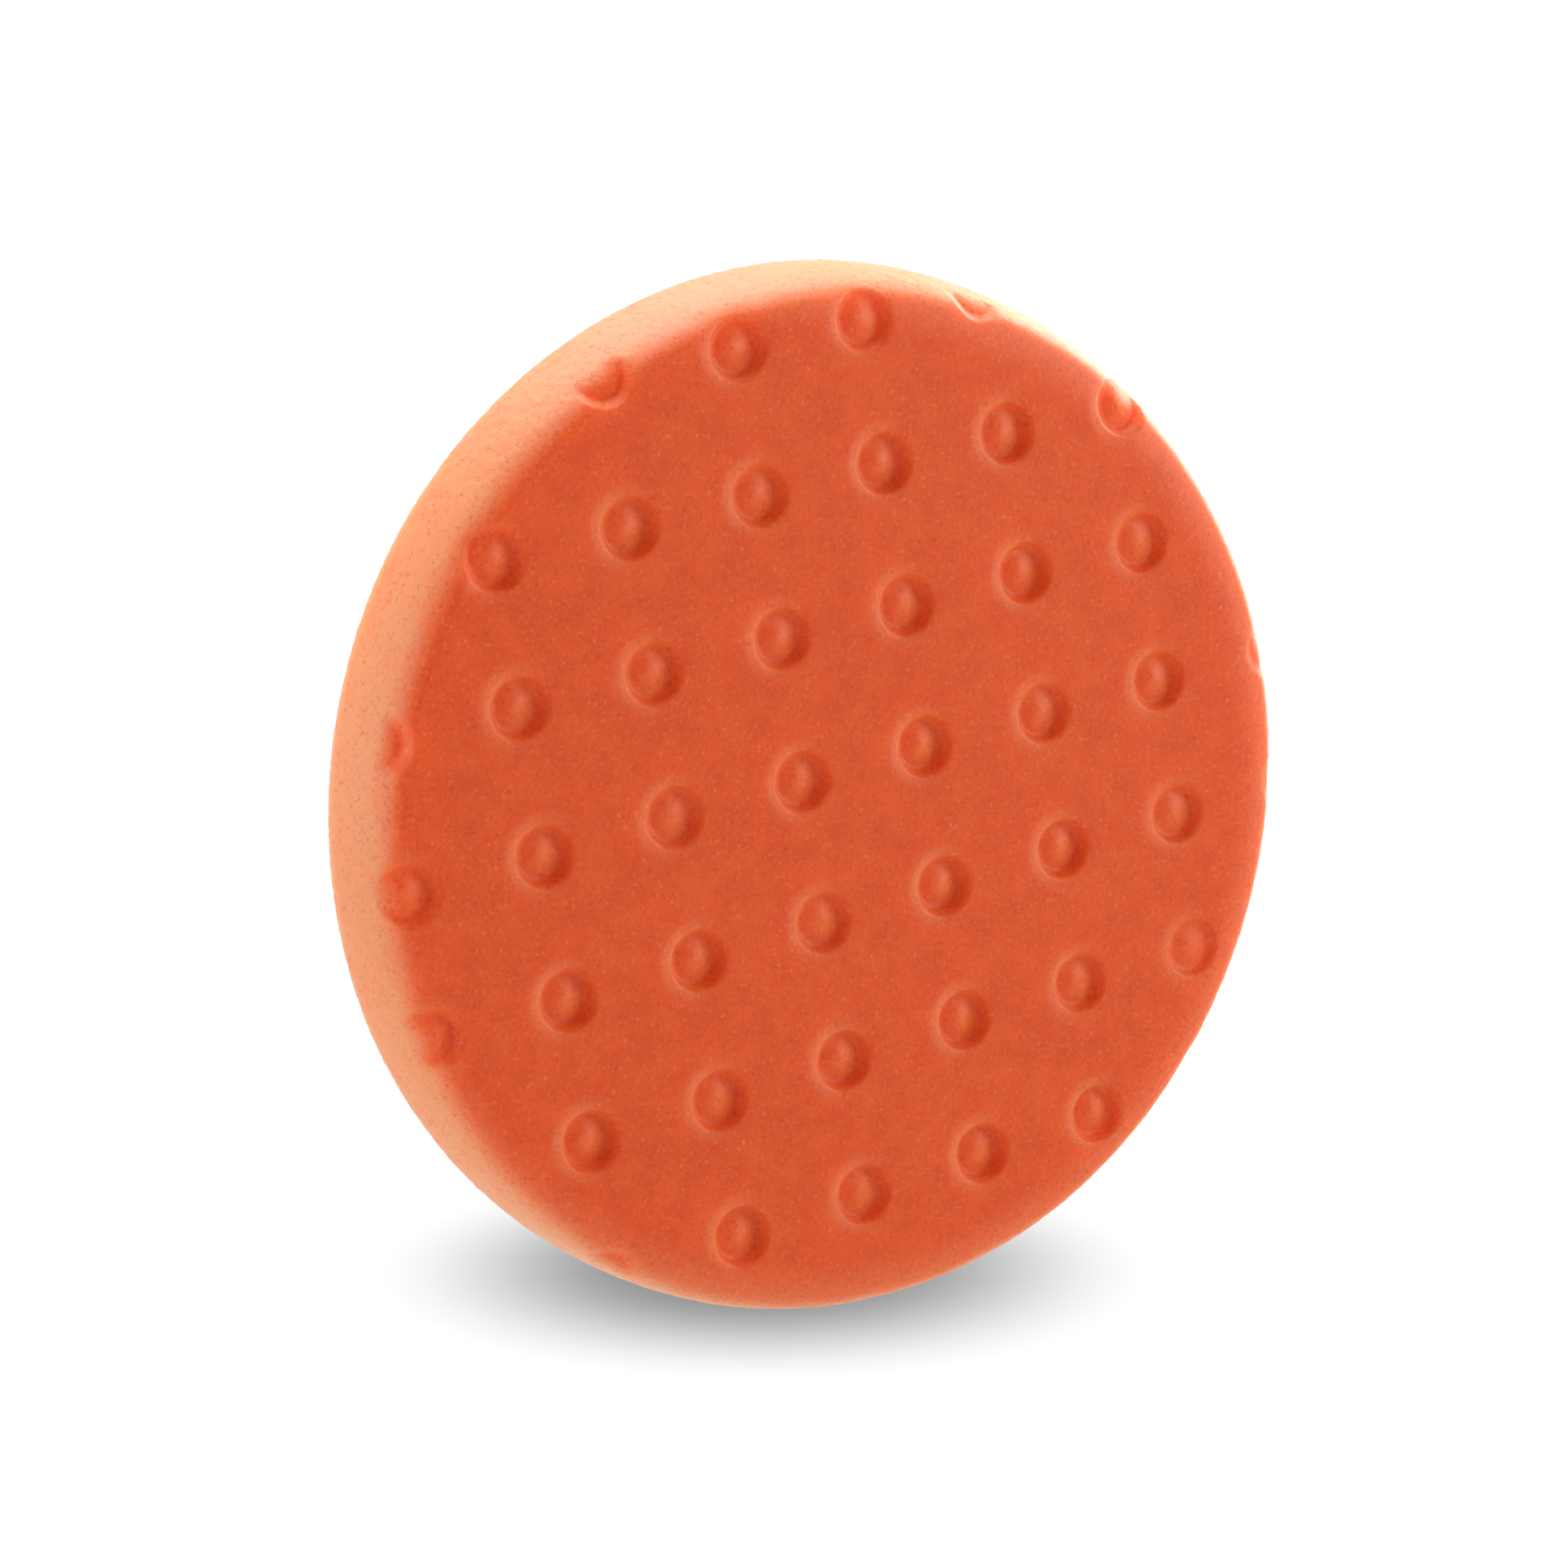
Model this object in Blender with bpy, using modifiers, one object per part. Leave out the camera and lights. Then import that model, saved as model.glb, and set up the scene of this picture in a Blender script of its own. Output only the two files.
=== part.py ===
"""Round foam polishing pad with punched pockets and a hook-and-loop back.

Run with: blender --background --python part.py

The pad is built in its own bench frame, lying on its loop face with the work face
up, and one empty then stands it on its rim. In the world the axis runs along Y, the
work face looks along -Y, the loop face along +Y, +Z is up, and the origin is the
centre of the loop face. All lengths are in metres.
"""

import math

import bpy

MM = 0.001

# Overall sizes: a nominal 5.5 inch pad, 7/8 inch thick, for a 5 inch backing plate.
PAD_RADIUS = 69.5 * MM
PAD_THICKNESS = 22.2 * MM

# Layers of the back, from the loop face inwards, each clear of the next.
LAYER_GAP = 0.1 * MM
PILE_THICKNESS = 1.2 * MM
CLOTH_THICKNESS = 0.5 * MM
FILM_THICKNESS = 0.2 * MM
CLOTH_BASE = PILE_THICKNESS + LAYER_GAP
FILM_BASE = CLOTH_BASE + CLOTH_THICKNESS + LAYER_GAP
FOAM_BASE = FILM_BASE + FILM_THICKNESS + LAYER_GAP

# Foam disc: a flat work face, a crisp edge, a belly, and a narrower back.
FACE_RADIUS = 64.8 * MM
BELLY_DEPTH = 11.4 * MM
BACK_RADIUS = 63.6 * MM
FOAM_HEIGHT = PAD_THICKNESS - FOAM_BASE
SHOULDER_POINTS = 9
FLANK_POINTS = 5
RIM_STEPS = 96

# The three back layers step in a little from the foam and from each other.
FILM_RADIUS = BACK_RADIUS - 0.5 * MM
CLOTH_RADIUS = BACK_RADIUS - 0.7 * MM
PILE_RADIUS = BACK_RADIUS - 1.0 * MM
PILE_EDGE_ROUND = 0.4 * MM

# Punched pockets: a ring groove round a low centre, on a square grid that is turned
# and set off from the pad's centre, as a disc cut from a punched sheet has it.
POCKET_PITCH = 19.05 * MM
POCKET_RADIUS = 4.4 * MM
POCKET_DEPTH = 1.9 * MM
POCKET_GROOVE_RADIUS = 2.9 * MM
POCKET_CENTRE_DEPTH = 0.7 * MM
POCKET_STEPS = 12
CUTTER_RISE = 1.0 * MM
GRID_TURN = math.radians(9.56)
GRID_OFFSET = (-0.388 * POCKET_PITCH, 0.216 * POCKET_PITCH)
GRID_REACH = 5

MERGE_DISTANCE = 0.00001
SMOOTH_ANGLE = math.radians(35)


def clear_scene():
    """Remove whatever the open file holds."""
    for obj in list(bpy.data.objects):
        bpy.data.objects.remove(obj, do_unlink=True)


def new_collection(name):
    """Make a collection under the scene's own."""
    collection = bpy.data.collections.new(name)
    bpy.context.scene.collection.children.link(collection)
    return collection


def new_material(name, colour, roughness):
    """Make a Principled material of one linear colour. Nothing on the pad is metal."""
    material = bpy.data.materials.new(name)
    material.use_nodes = True
    shader = material.node_tree.nodes["Principled BSDF"]
    shader.inputs["Base Color"].default_value = (*colour, 1.0)
    shader.inputs["Roughness"].default_value = roughness
    shader.inputs["Metallic"].default_value = 0.0
    return material


def profile_mesh(name, profile):
    """Make an open chain of edges in the XZ plane from (radius, height) pairs."""
    mesh = bpy.data.meshes.new(name)
    points = [(radius, 0.0, height) for radius, height in profile]
    edges = [(i, i + 1) for i in range(len(points) - 1)]
    mesh.from_pydata(points, edges, [])
    return mesh


def turned(name, profile, steps, collection, parent):
    """Turn a profile, given top to bottom on its outer side, about the local Z axis."""
    obj = bpy.data.objects.new(name, profile_mesh(name, profile))
    collection.objects.link(obj)
    obj.parent = parent
    add_screw(obj, steps)
    return obj


def add_screw(obj, steps):
    """Spin the object's profile a full turn and close its poles."""
    screw = obj.modifiers.new("Turn", "SCREW")
    screw.axis = "Z"
    screw.angle = 2.0 * math.pi
    screw.steps = steps
    screw.render_steps = steps
    screw.use_merge_vertices = True
    screw.merge_threshold = MERGE_DISTANCE


def settle_modifiers(obj):
    """Turn the modifiers so far into mesh, and shade it smooth with sharp edges kept."""
    graph = bpy.context.evaluated_depsgraph_get()
    mesh = bpy.data.meshes.new_from_object(obj.evaluated_get(graph))
    obj.modifiers.clear()
    obj.data = mesh
    mesh.shade_smooth()
    mesh.set_sharp_from_angle(angle=SMOOTH_ANGLE)


def foam_profile():
    """Work face, elliptical shoulder out to the belly, then a flank that falls in.

    The shoulder is a quarter ellipse, so it leaves the flat face along it and turns
    sharply there: that is the crisp edge. The flank's inset grows with the square of
    the distance from the belly.
    """
    belly_height = PAD_THICKNESS - BELLY_DEPTH
    swell = PAD_RADIUS - FACE_RADIUS
    points = [(0.0, PAD_THICKNESS)]
    for i in range(SHOULDER_POINTS):
        angle = 0.5 * math.pi * i / (SHOULDER_POINTS - 1)
        points.append(
            (
                FACE_RADIUS + swell * math.sin(angle),
                belly_height + BELLY_DEPTH * math.cos(angle),
            )
        )
    for i in range(1, FLANK_POINTS + 1):
        share = i / FLANK_POINTS
        points.append(
            (
                PAD_RADIUS - (PAD_RADIUS - BACK_RADIUS) * share**2,
                belly_height - (belly_height - FOAM_BASE) * share,
            )
        )
    points.append((0.0, FOAM_BASE))
    return points


def pocket_profile():
    """Cutter for one pocket: a plug with a rounded ring round a dished underside."""
    face = PAD_THICKNESS
    wall_radius = 0.5 * (POCKET_RADIUS + POCKET_GROOVE_RADIUS)
    return [
        (0.0, face + CUTTER_RISE),
        (POCKET_RADIUS, face + CUTTER_RISE),
        (POCKET_RADIUS, face - 0.25 * POCKET_DEPTH),
        (wall_radius, face - 0.85 * POCKET_DEPTH),
        (POCKET_GROOVE_RADIUS, face - POCKET_DEPTH),
        (0.45 * POCKET_GROOVE_RADIUS, face - 0.75 * POCKET_DEPTH),
        (0.0, face - POCKET_CENTRE_DEPTH),
    ]


def pocket_centres():
    """Grid points whose pocket reaches the work face, as (x, y) in the bench frame."""
    along = (math.cos(GRID_TURN), math.sin(GRID_TURN))
    across = (-math.sin(GRID_TURN), math.cos(GRID_TURN))
    centres = []
    for row in range(-GRID_REACH, GRID_REACH + 1):
        for column in range(-GRID_REACH, GRID_REACH + 1):
            u = column * POCKET_PITCH + GRID_OFFSET[0]
            v = row * POCKET_PITCH + GRID_OFFSET[1]
            if math.hypot(u, v) < FACE_RADIUS + POCKET_RADIUS:
                centres.append(
                    (u * along[0] + v * across[0], u * along[1] + v * across[1])
                )
    return centres


def make_pocket_cutters(collection, parent):
    """One cutter for each pocket, all sharing the first one's mesh."""
    first = turned("pocket_cutter", pocket_profile(), POCKET_STEPS, collection, parent)
    settle_modifiers(first)
    cutters = [first]
    centres = pocket_centres()
    for _ in centres[1:]:
        copy = bpy.data.objects.new("pocket_cutter", first.data)
        copy.parent = parent
        collection.objects.link(copy)
        cutters.append(copy)
    for cutter, (x, y) in zip(cutters, centres):
        cutter.location = (x, y, 0.0)
        cutter.hide_render = True
        cutter.display_type = "WIRE"


def make_foam_body(parts, cutters, parent):
    """The open-cell foam disc, with its pockets punched into the work face."""
    foam = turned("foam_body", foam_profile(), RIM_STEPS, parts, parent)
    settle_modifiers(foam)
    make_pocket_cutters(cutters, parent)
    cut = foam.modifiers.new("Pockets", "BOOLEAN")
    cut.operation = "DIFFERENCE"
    cut.solver = "EXACT"
    cut.operand_type = "COLLECTION"
    cut.collection = cutters
    foam.data.materials.append(
        new_material("orange_polyurethane_foam", (0.665, 0.089, 0.027), 0.9)
    )
    return foam


def make_layer(name, radius, base, thickness, parts, parent, material):
    """One flat disc of the back, with square edges."""
    profile = [
        (0.0, base + thickness),
        (radius, base + thickness),
        (radius, base),
        (0.0, base),
    ]
    disc = turned(name, profile, RIM_STEPS, parts, parent)
    settle_modifiers(disc)
    disc.data.materials.append(material)
    return disc


def make_adhesive_film(parts, parent):
    """Hot-melt film that bonds the loop cloth to the foam."""
    material = new_material("hot_melt_film", (0.80, 0.76, 0.62), 0.35)
    return make_layer(
        "adhesive_film", FILM_RADIUS, FILM_BASE, FILM_THICKNESS, parts, parent, material
    )


def make_backing_cloth(parts, parent):
    """Knitted nylon ground cloth that carries the loops."""
    material = new_material("knitted_nylon", (0.72, 0.72, 0.70), 0.8)
    return make_layer(
        "backing_cloth", CLOTH_RADIUS, CLOTH_BASE, CLOTH_THICKNESS, parts, parent, material
    )


def make_loop_pile(parts, parent):
    """Brushed loop pile: the layer that a backing plate's hooks grip."""
    material = new_material("brushed_nylon_loops", (0.80, 0.80, 0.78), 0.95)
    pile = make_layer("loop_pile", PILE_RADIUS, 0.0, PILE_THICKNESS, parts, parent, material)
    rounding = pile.modifiers.new("Rounded edge", "BEVEL")
    rounding.width = PILE_EDGE_ROUND
    rounding.segments = 2
    rounding.limit_method = "ANGLE"
    rounding.angle_limit = math.radians(60)
    return pile


def main():
    """Build the pad."""
    clear_scene()
    parts = new_collection("polishing_pad")
    cutters = new_collection("pocket_cutters")
    stand = bpy.data.objects.new("pad_axis", None)
    stand.rotation_euler = (0.5 * math.pi, 0.0, 0.0)
    parts.objects.link(stand)
    bpy.context.view_layer.update()

    make_foam_body(parts, cutters, stand)
    make_adhesive_film(parts, stand)
    make_backing_cloth(parts, stand)
    make_loop_pile(parts, stand)


main()
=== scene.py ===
"""Looks for a foam polishing pad: foam, glue film, loop cloth, and the studio round them.

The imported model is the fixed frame. The pad stands on its rim with its axis along Y, the
work face looking along -Y and the loop face along +Y. Every size that the frame knows is
read from it. What only the looks need, such as the rounding of a pocket's lip, is a field
of the class that uses it. Lengths are metres and angles degrees, unless a name says
otherwise.
"""

import logging
import math
from dataclasses import dataclass, field
from enum import Enum
from typing import Any

import bpy
import numpy as np
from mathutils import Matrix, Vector


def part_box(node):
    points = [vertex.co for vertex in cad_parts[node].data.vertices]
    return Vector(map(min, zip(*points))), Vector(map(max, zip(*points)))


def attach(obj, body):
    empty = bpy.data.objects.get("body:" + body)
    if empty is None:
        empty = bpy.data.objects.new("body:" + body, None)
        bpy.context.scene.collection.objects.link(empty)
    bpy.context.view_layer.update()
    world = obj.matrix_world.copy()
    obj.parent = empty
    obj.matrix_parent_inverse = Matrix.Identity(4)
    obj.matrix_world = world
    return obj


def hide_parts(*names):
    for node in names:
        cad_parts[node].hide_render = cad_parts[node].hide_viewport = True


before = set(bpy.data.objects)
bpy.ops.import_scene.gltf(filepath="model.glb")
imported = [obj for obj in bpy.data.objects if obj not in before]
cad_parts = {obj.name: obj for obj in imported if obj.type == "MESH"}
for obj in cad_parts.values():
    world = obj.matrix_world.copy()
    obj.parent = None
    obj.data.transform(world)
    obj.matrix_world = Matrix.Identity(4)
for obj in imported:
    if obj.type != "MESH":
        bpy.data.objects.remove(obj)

MM = 0.001
TINY = 1e-7  # Least distance to divide by.
WAVE_NODE_RATE = 20.0  # Radians that a Wave Texture of scale 1 turns through in a metre.
BODY = "root"

log = logging.getLogger("polishing_pad")


class Layer(Enum):
    """The pad's four layers: each value is the CAD node's name and its material slot."""

    FOAM = ("foam_body", "foam")
    FILM = ("adhesive_film", "adhesive")
    CLOTH = ("backing_cloth", "ground_cloth")
    PILE = ("loop_pile", "loops")

    @property
    def node(self) -> str:
        """Name of the CAD node."""
        return self.value[0]

    @property
    def slot(self) -> str:
        """Name of the record's material slot."""
        return self.value[1]


class Facing(Enum):
    """Which way a disc's upper side looks, as the turn from its own frame to the world."""

    WORK = ((1.0, 0.0, 0.0), (0.0, 0.0, -1.0), (0.0, 1.0, 0.0))
    LOOP = ((1.0, 0.0, 0.0), (0.0, 0.0, 1.0), (0.0, -1.0, 0.0))

    def to_world(self, points: np.ndarray) -> np.ndarray:
        """Turn points from a disc's own frame, height last, into the world.

        Args:
            points: Array of shape (..., 3) in the disc's own frame.

        Returns:
            The same points in the world, in the same shape.
        """
        return points @ np.array(self.value).T


# ---------------------------------------------------------------------------------------
# Small helpers
# ---------------------------------------------------------------------------------------


def linear(hex_colour: str) -> tuple[float, float, float, float]:
    """Turn an sRGB hex colour into the linear colour that a shader takes.

    Args:
        hex_colour: Six hex digits after a hash.

    Returns:
        Linear red, green and blue, with alpha 1.
    """
    values = [int(hex_colour[i : i + 2], 16) / 255.0 for i in (1, 3, 5)]
    red, green, blue = (
        v / 12.92 if v <= 0.04045 else ((v + 0.055) / 1.055) ** 2.4 for v in values
    )
    return red, green, blue, 1.0


def smooth_step(
    values: np.ndarray, start: float | np.ndarray, end: float
) -> np.ndarray:
    """Rise from 0 at start to 1 at end, along t * t * (3 - 2 t).

    Args:
        values: Where to read the step.
        start: Value at which the step leaves 0, one for all or one for each.
        end: Value at which the step reaches 1.

    Returns:
        The step at each value.
    """
    t = np.clip((values - start) / (end - start), 0.0, 1.0)
    return t * t * (3.0 - 2.0 * t)


def add_node(
    tree: bpy.types.NodeTree,
    kind: str,
    settings: dict[str, Any] | None = None,
    inputs: dict[str | int, Any] | None = None,
) -> bpy.types.Node:
    """Add a node, set its properties, and fill or link its inputs.

    Args:
        tree: The node tree.
        kind: The node's Blender type name.
        settings: Property names and values.
        inputs: Input names or numbers, each with a value or the output socket to link.

    Returns:
        The new node.
    """
    node = tree.nodes.new(kind)
    for name, value in (settings or {}).items():
        setattr(node, name, value)
    for key, value in (inputs or {}).items():
        if isinstance(value, bpy.types.NodeSocket):
            tree.links.new(value, node.inputs[key])
        else:
            node.inputs[key].default_value = value
    return node


def blank_material(name: str) -> tuple[bpy.types.Material, bpy.types.NodeTree]:
    """Make a material with an empty node tree.

    Args:
        name: The material's name.

    Returns:
        The material and its tree.
    """
    material = bpy.data.materials.new(name)
    material.use_nodes = True
    material.node_tree.nodes.clear()
    return material, material.node_tree


def finish_material(tree: bpy.types.NodeTree, settings: dict[str | int, Any]) -> None:
    """Close a node tree with one Principled shader.

    Args:
        tree: The node tree.
        settings: The shader's inputs, as values or linked sockets.
    """
    shader = add_node(tree, "ShaderNodeBsdfPrincipled", inputs=settings)
    add_node(tree, "ShaderNodeOutputMaterial", inputs={"Surface": shader.outputs["BSDF"]})


def mesh_object(
    name: str, points: np.ndarray, faces: list[np.ndarray]
) -> bpy.types.Object:
    """Make a smooth-shaded piece in the world's frame, riding on the pad's body.

    Args:
        name: The piece's name.
        points: World points, shape (n, 3).
        faces: Arrays of vertex numbers, each of shape (m, corners).

    Returns:
        The new object.
    """
    mesh = bpy.data.meshes.new(name)
    corners = np.concatenate([f.ravel() for f in faces]).astype(np.int32)
    sizes = np.concatenate([np.full(len(f), f.shape[1], np.int32) for f in faces])
    starts = np.concatenate([[0], np.cumsum(sizes)[:-1]]).astype(np.int32)
    mesh.vertices.add(len(points))
    mesh.vertices.foreach_set("co", points.astype(np.float32).ravel())
    mesh.loops.add(len(corners))
    mesh.loops.foreach_set("vertex_index", corners)
    mesh.polygons.add(len(sizes))
    mesh.polygons.foreach_set("loop_start", starts)
    mesh.update(calc_edges=True)
    mesh.validate()
    mesh.shade_smooth()
    piece = bpy.data.objects.new(name, mesh)
    bpy.context.scene.collection.objects.link(piece)
    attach(piece, BODY)
    return piece


def point_attribute(piece: bpy.types.Object, name: str, values: np.ndarray) -> None:
    """Store one number per vertex under a name that a material can read.

    Args:
        piece: The object.
        name: The attribute's name.
        values: One value per vertex.
    """
    attribute = piece.data.attributes.new(name, "FLOAT", "POINT")
    attribute.data.foreach_set("value", values.astype(np.float32))


# ---------------------------------------------------------------------------------------
# Discs: an even grid in the middle, rings over the edge, a fan that closes the far side
# ---------------------------------------------------------------------------------------


@dataclass(frozen=True)
class DiscGrid:
    """Connectivity and flat layout of a closed disc.

    The middle is a square grid pressed into a circle, so its cells stay even from the
    centre to the edge. Its outline carries on as rings, which a profile takes over the
    edge and under the disc, and one last point closes the far side.
    """

    cells: int
    rings: int

    @property
    def around(self) -> int:
        """Number of points in one ring."""
        return 4 * self.cells

    def middle(self, radius: float) -> np.ndarray:
        """Lay a square grid out as a disc.

        A point (a, b) of the square from -1 to 1 goes to a * sqrt(1 - b * b / 2) and
        b * sqrt(1 - a * a / 2), times the radius.

        Args:
            radius: The disc's radius.

        Returns:
            Flat points of shape ((cells + 1) ** 2, 2).
        """
        line = np.linspace(-1.0, 1.0, self.cells + 1)
        a, b = np.meshgrid(line, line, indexing="ij")
        x = a * np.sqrt(1.0 - 0.5 * b * b)
        y = b * np.sqrt(1.0 - 0.5 * a * a)
        return radius * np.stack([x.ravel(), y.ravel()], axis=1)

    def outline(self) -> np.ndarray:
        """Vertex numbers of the square grid's outline, counter-clockwise."""
        n = self.cells
        number = np.arange((n + 1) ** 2).reshape(n + 1, n + 1)
        return np.concatenate(
            [number[:-1, 0], number[-1, :-1], number[:0:-1, -1], number[0, :0:-1]]
        )

    def ring_directions(self) -> np.ndarray:
        """Unit directions of the ring points, shape (around, 2)."""
        edge = self.middle(1.0)[self.outline()]
        return edge / np.linalg.norm(edge, axis=1, keepdims=True)

    def ring_points(self, radii: np.ndarray) -> np.ndarray:
        """Lay out the rings at their radii.

        Args:
            radii: One radius per ring.

        Returns:
            Flat points of shape (rings * around, 2).
        """
        return (radii[:, None, None] * self.ring_directions()).reshape(-1, 2)

    def faces(self) -> list[np.ndarray]:
        """Quads of the middle and the rings, and the triangles of the closing fan."""
        n = self.cells
        number = np.arange((n + 1) ** 2).reshape(n + 1, n + 1)
        middle = np.stack(
            [number[:-1, :-1], number[1:, :-1], number[1:, 1:], number[:-1, 1:]], axis=-1
        ).reshape(-1, 4)
        first = (n + 1) ** 2
        rings = first + np.arange(self.rings * self.around).reshape(self.rings, -1)
        loops = np.concatenate([self.outline()[None], rings])
        ahead = np.roll(loops, -1, axis=1)
        bands = np.stack([loops[:-1], loops[1:], ahead[1:], ahead[:-1]], axis=-1)
        last = np.full(self.around, first + self.rings * self.around)
        fan = np.stack([loops[-1], last, ahead[-1]], axis=-1)
        return [middle, bands.reshape(-1, 4), fan]


# ---------------------------------------------------------------------------------------
# Finishes
# ---------------------------------------------------------------------------------------


@dataclass(frozen=True)
class Tint:
    """A colour mixed in where a pattern's value is within a range.

    It comes in from nothing at the start of the range to its share at the end. A range
    that runs from high to low picks out the low values.
    """

    colour: str
    share: float = 1.0
    start: float = 0.0
    end: float = 1.0
    eased: bool = False


@dataclass(frozen=True)
class OpenCellFoam:
    """Open-cell polyurethane foam, dyed orange, skived flat and cut to a disc.

    The eye gets a matt colour with fine light and dark flecks, where single cells lie
    closed or open, and a faint cloudiness. Light soaks in and comes out redder, most of
    all in the pockets, which a hot punch has crushed. The pockets' skin is drawn lighter
    than the face, partly as painted fill light that lifts the shade in the grooves. The
    cell walls glint a little. The cut side is rough, and its whitish blotches and specks
    are painted light: the strong light and sheen that fall on it, drawn into its colour.
    Painted highlights on the pockets' lips and domes take the same colour.
    """

    colour: str = "#F1631B"
    clouds: Tint = Tint("#E85616", 1.0, 0.35, 0.7)
    # Painted light: the strong light and sheen on the cut side, and the highlights on the
    # pockets' lips and domes, drawn as a paler colour.
    side_painted_light: Tint = Tint("#E6A171")
    dark_grain: Tint = Tint("#E85616", 0.35, 0.3, 0.7)
    # The pockets' hot-punched skin, drawn lighter than the face: partly its own tone, partly
    # painted fill light that lifts the shade in the grooves.
    skin_and_painted_fill: Tint = Tint("#FF7434", 0.4)
    wall_glints: Tint = Tint("#FF9C70", 0.42, 0.54, 0.72, eased=True)
    open_cells: Tint = Tint("#C8401A", 0.55, 0.47, 0.30, eased=True)
    cell_size: float = 0.3 * MM
    cloud_size: float = 3.5 * MM
    blotch: float = 0.9
    speckle: float = 1.3
    roughness: float = 0.5
    specular: float = 0.3
    sheen: float = 0.22
    sheen_roughness: float = 0.32
    sheen_colour: str = "#FFEFD0"
    bump_height: float = 0.12 * MM
    face_bump: float = 0.3
    side_bump: float = 0.75
    scatter: tuple[float, float, float] = (5.4, 1.8, 0.8)

    # Mottles the side's painted light with the cloud and grain noise.
    def mottle_side_light(
        self,
        tree: bpy.types.NodeTree,
        side: bpy.types.NodeSocket,
        cloud: bpy.types.NodeSocket,
        grain: bpy.types.NodeSocket,
    ) -> bpy.types.NodeSocket:
        """Break the side's painted light up into blotches and specks.

        The side's value is multiplied by one, plus the blotch times the cloud's distance
        from a half, plus the speckle times the grain's distance from a half.

        Args:
            tree: The node tree.
            side: How much of a point carries painted light: the cut side, and the
            pockets' painted highlights.
            cloud: The coarse noise.
            grain: The fine noise.

        Returns:
            The share of painted light, from 0 to 1.
        """
        rest = 1.0 - 0.5 * (self.blotch + self.speckle)
        blotches = add_node(
            tree,
            "ShaderNodeMath",
            {"operation": "MULTIPLY_ADD"},
            {0: cloud, 1: self.blotch, 2: rest},
        )
        specks = add_node(
            tree,
            "ShaderNodeMath",
            {"operation": "MULTIPLY_ADD"},
            {0: grain, 1: self.speckle, 2: blotches.outputs["Value"]},
        )
        return add_node(
            tree,
            "ShaderNodeMath",
            {"operation": "MULTIPLY", "use_clamp": True},
            {0: side, 1: specks.outputs["Value"]},
        ).outputs["Value"]

    def build(self) -> bpy.types.Material:
        """Make the material.

        Returns:
            The foam material. It reads two point attributes: "skin", 1 in a pocket, and
            "side", 1 where light is painted in: the cut side, and the painted highlights
            on the pockets' lips and domes.
        """
        material, tree = blank_material("open_cell_polyurethane_foam")
        place = add_node(tree, "ShaderNodeTexCoord").outputs["Object"]
        skin, side = (
            add_node(tree, "ShaderNodeAttribute", {"attribute_name": name}).outputs["Fac"]
            for name in ("skin", "side")
        )
        cloud = add_node(
            tree,
            "ShaderNodeTexNoise",
            inputs={"Vector": place, "Scale": 1.0 / self.cloud_size, "Detail": 4.0},
        ).outputs["Fac"]
        grain = add_node(
            tree,
            "ShaderNodeTexNoise",
            inputs={
                "Vector": place,
                "Scale": 0.5 / self.cell_size,
                "Detail": 3.0,
                "Roughness": 0.75,
                "Distortion": 0.5,
            },
        ).outputs["Fac"]
        shade = linear(self.colour)
        for pattern, tint in (
            (cloud, self.clouds),
            # Painted light on the cut side, and painted highlights on the pockets' lips and
            # domes.
            (self.mottle_side_light(tree, side, cloud, grain), self.side_painted_light),
            (grain, self.dark_grain),
            # Pocket skin, lighter as painted fill light in the grooves.
            (skin, self.skin_and_painted_fill),
            (grain, self.wall_glints),
            (grain, self.open_cells),
        ):
            share = add_node(
                tree,
                "ShaderNodeMapRange",
                {"interpolation_type": "SMOOTHSTEP" if tint.eased else "LINEAR"},
                {
                    "Value": pattern,
                    "From Min": tint.start,
                    "From Max": tint.end,
                    "To Max": tint.share,
                },
            )
            shade = add_node(
                tree,
                "ShaderNodeMix",
                {"data_type": "RGBA"},
                {"Factor": share.outputs["Result"], "A": shade, "B": linear(tint.colour)},
            ).outputs["Result"]
        strength = add_node(
            tree,
            "ShaderNodeMapRange",
            inputs={"Value": side, "To Min": self.face_bump, "To Max": self.side_bump},
        )
        bump = add_node(
            tree,
            "ShaderNodeBump",
            inputs={
                "Height": grain,
                "Strength": strength.outputs["Result"],
                "Distance": self.bump_height,
            },
        )
        finish_material(
            tree,
            {
                "Base Color": shade,
                "Roughness": self.roughness,
                "Specular IOR Level": self.specular,
                "Subsurface Weight": 1.0,
                "Subsurface Radius": self.scatter,
                "Subsurface Scale": MM,
                "Sheen Weight": self.sheen,
                "Sheen Roughness": self.sheen_roughness,
                "Sheen Tint": linear(self.sheen_colour),
                "Normal": bump.outputs["Normal"],
            },
        )
        return material


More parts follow.
